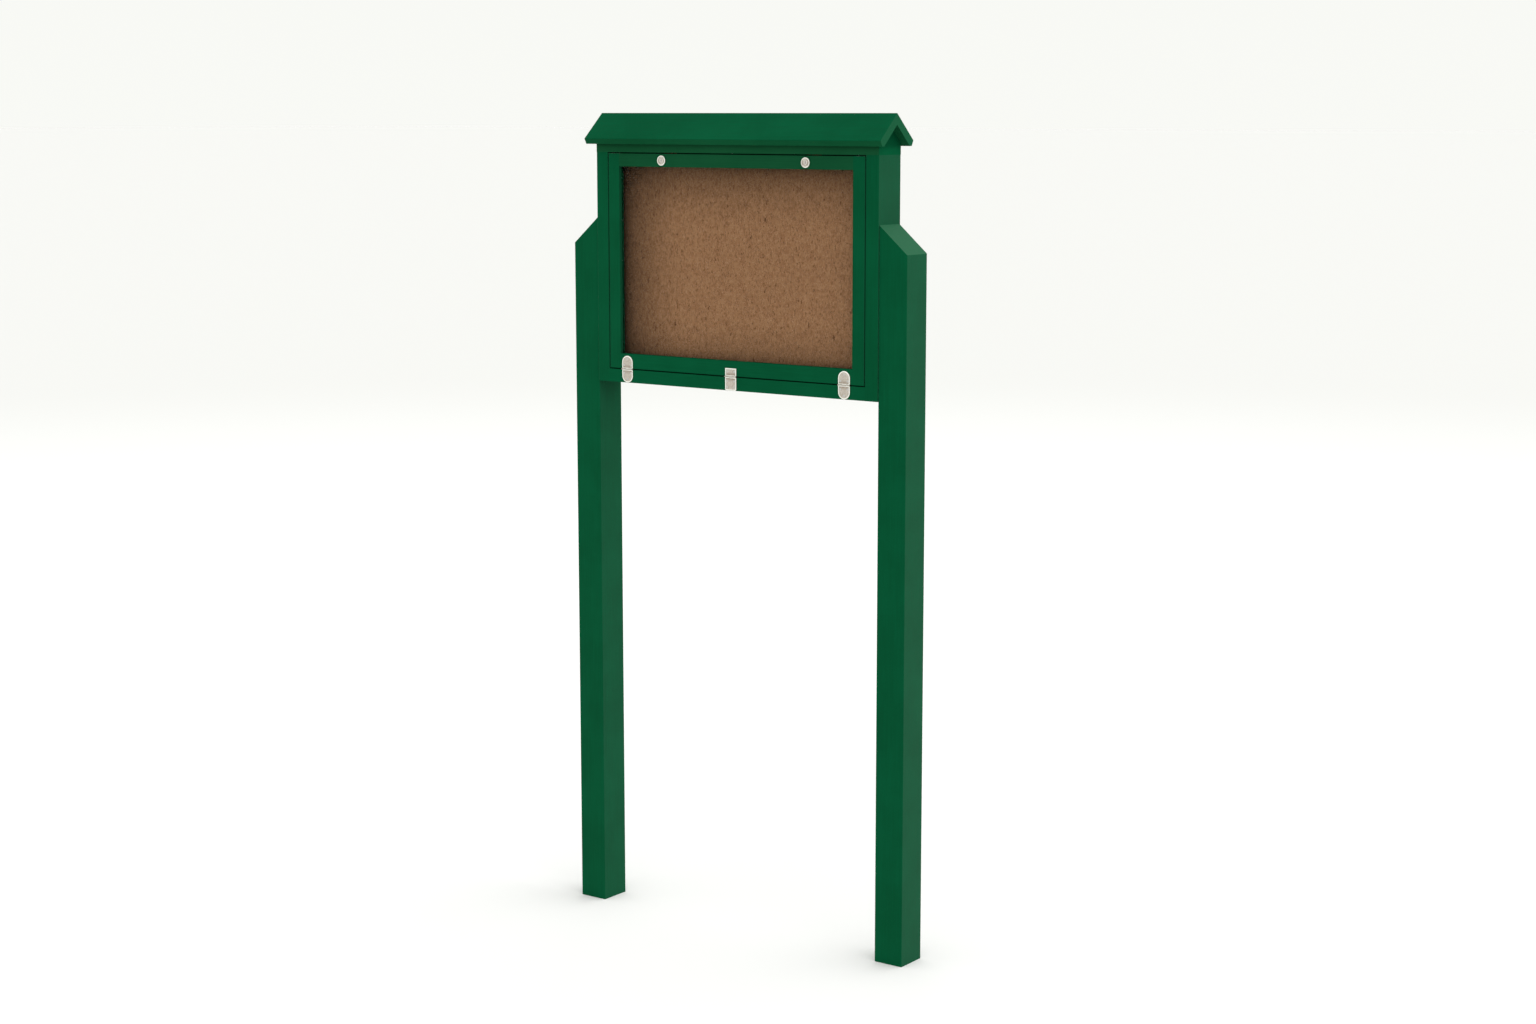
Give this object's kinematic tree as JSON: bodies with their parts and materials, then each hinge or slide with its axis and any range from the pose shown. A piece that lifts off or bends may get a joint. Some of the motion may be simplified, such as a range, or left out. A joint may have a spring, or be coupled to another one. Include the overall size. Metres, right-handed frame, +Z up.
{
  "type": "message centre",
  "caption": "Free-standing notice cabinet on two square posts, with a small pitched roof, a bottom-hinged glazed door with two cam locks, and a cork pin board.",
  "frame": {"origin": "on the ground, midway between the two posts and at the middle of the cabinet's depth", "axes": "+X to the right as seen from the front, +Y to the back, +Z up"},
  "size_m": [1.148, 0.1594, 2.333],
  "materials": {
    "post_lumber": "satin, faintly grained",
    "cabinet_lumber": "satin, faintly grained",
    "roof_lumber": "satin, faintly grained",
    "door_lumber": "satin, faintly grained",
    "inner_lumber": "satin, sawn edges",
    "cork": "matt pressed fibre",
    "backer": "matt sheet",
    "rear_sheet": "satin sheet",
    "pane": "clear polycarbonate",
    "seal": "matt closed-cell foam",
    "hinge_steel": "satin stainless",
    "lock_steel": "satin",
    "plug_brass": "satin nickel plate",
    "zinc_steel": "bright zinc plate",
    "screw_steel": "satin stainless"
  },
  "bodies": {
    "stand": {"backer_cleats": "inner_lumber", "backer_sheet": "backer", "board_screws": "screw_steel", "bottom_rail": "cabinet_lumber", "bottom_stop_batten": "inner_lumber", "carcass_screws": "screw_steel", "centre_hinge_frame_leaf": "hinge_steel", "cleat_screws": "screw_steel", "cork_board": "cork", "door_seal": "seal", "front_roof_panel": "roof_lumber", "hinge_frame_screws": "screw_steel", "hinge_pins": "hinge_steel", "left_hinge_frame_leaf": "hinge_steel", "left_post": "post_lumber", "left_side_board": "cabinet_lumber", "left_stop_batten": "inner_lumber", "post_bolts": "screw_steel", "post_washers": "screw_steel", "rear_cleats": "inner_lumber", "rear_panel": "rear_sheet", "rear_panel_screws": "screw_steel", "rear_roof_panel": "roof_lumber", "right_hinge_frame_leaf": "hinge_steel", "right_post": "post_lumber", "right_side_board": "cabinet_lumber", "right_stop_batten": "inner_lumber", "roof_block_screws": "screw_steel", "roof_blocks": "roof_lumber", "roof_panel_screws": "screw_steel", "strike_plates": "zinc_steel", "strike_screws": "screw_steel", "top_board": "cabinet_lumber", "top_stop_battens": "inner_lumber"},
    "door": {"left_stile": "door_lumber", "right_stile": "door_lumber", "top_door_rail": "door_lumber", "bottom_door_rail": "door_lumber", "window_pane": "pane", "left_glazing_bead": "inner_lumber", "right_glazing_bead": "inner_lumber", "bottom_glazing_bead": "inner_lumber", "top_glazing_bead": "inner_lumber", "bead_screws": "screw_steel", "door_corner_screws": "screw_steel", "left_hinge_door_leaf": "hinge_steel", "centre_hinge_door_leaf": "hinge_steel", "right_hinge_door_leaf": "hinge_steel", "hinge_door_screws": "screw_steel", "left_lock_body": "lock_steel", "right_lock_body": "lock_steel", "lock_nuts": "zinc_steel"},
    "lock_left": {"left_lock_plug": "plug_brass", "left_lock_cam": "zinc_steel", "left_cam_screw": "screw_steel"},
    "lock_right": {"right_lock_plug": "plug_brass", "right_lock_cam": "zinc_steel", "right_cam_screw": "screw_steel"}
  },
  "joints": [
    {"name": "door_hinge", "type": "hinge", "parent": "stand", "child": "door", "pos_m": [0, -0.0553, 1.604], "axis": [1, 0, 0], "range_deg": [0, 180]},
    {"name": "left_lock_turn", "type": "hinge", "parent": "door", "child": "lock_left", "pos_m": [-0.248, -0.053, 2.2006], "axis": [0, -1, 0], "range_deg": [0, 90]},
    {"name": "right_lock_turn", "type": "hinge", "parent": "door", "child": "lock_right", "pos_m": [0.248, -0.053, 2.2006], "axis": [0, -1, 0], "range_deg": [0, 90]}
  ]
}
